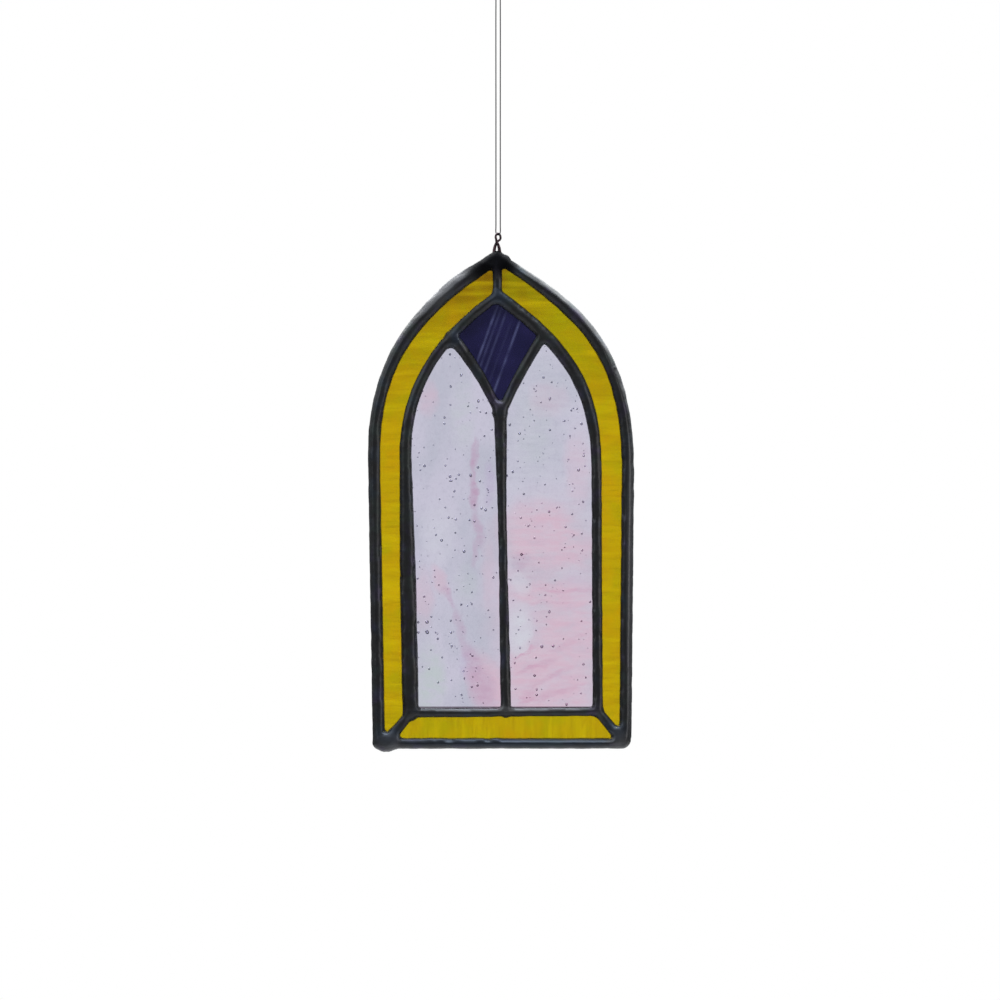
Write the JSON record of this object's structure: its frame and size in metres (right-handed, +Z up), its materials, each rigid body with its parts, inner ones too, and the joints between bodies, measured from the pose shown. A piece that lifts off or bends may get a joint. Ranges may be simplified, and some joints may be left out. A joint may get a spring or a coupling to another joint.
{
  "type": "stained glass window hanging",
  "caption": "Small hanging panel of soldered stained glass in the form of a pointed window, with a yellow border, seedy lancets and a dark kite, on a fine doubled line.",
  "frame": {"origin": "where the loop of the line bears on what it hangs from", "axes": "+X to the viewer's right, +Y from the front of the panel to its back, +Z up along the line"},
  "size_m": [0.1065, 0.0056, 0.3138],
  "materials": {
    "border_glass": "streaky translucent yellow, glossy",
    "kite_glass": "deep indigo with fine light streaks, glossy",
    "seedy_glass": "pale lavender with pink wisps and seeds, glossy",
    "patinated_solder": "black patina over tin-lead solder, satin, worn on the ridges",
    "eye_wire": "darkened copper wire",
    "line": "clear nylon line that reads grey against the light"
  },
  "bodies": {
    "root": {"glass_border_left": "border_glass", "glass_border_right": "border_glass", "glass_border_foot": "border_glass", "glass_kite": "kite_glass", "glass_lancet_left": "seedy_glass", "glass_lancet_right": "seedy_glass", "solder_net": "patinated_solder", "hanger_eye": "eye_wire", "hanging_line": "line", "line_knot": "line", "line_loop": "line"}
  },
  "joints": []
}
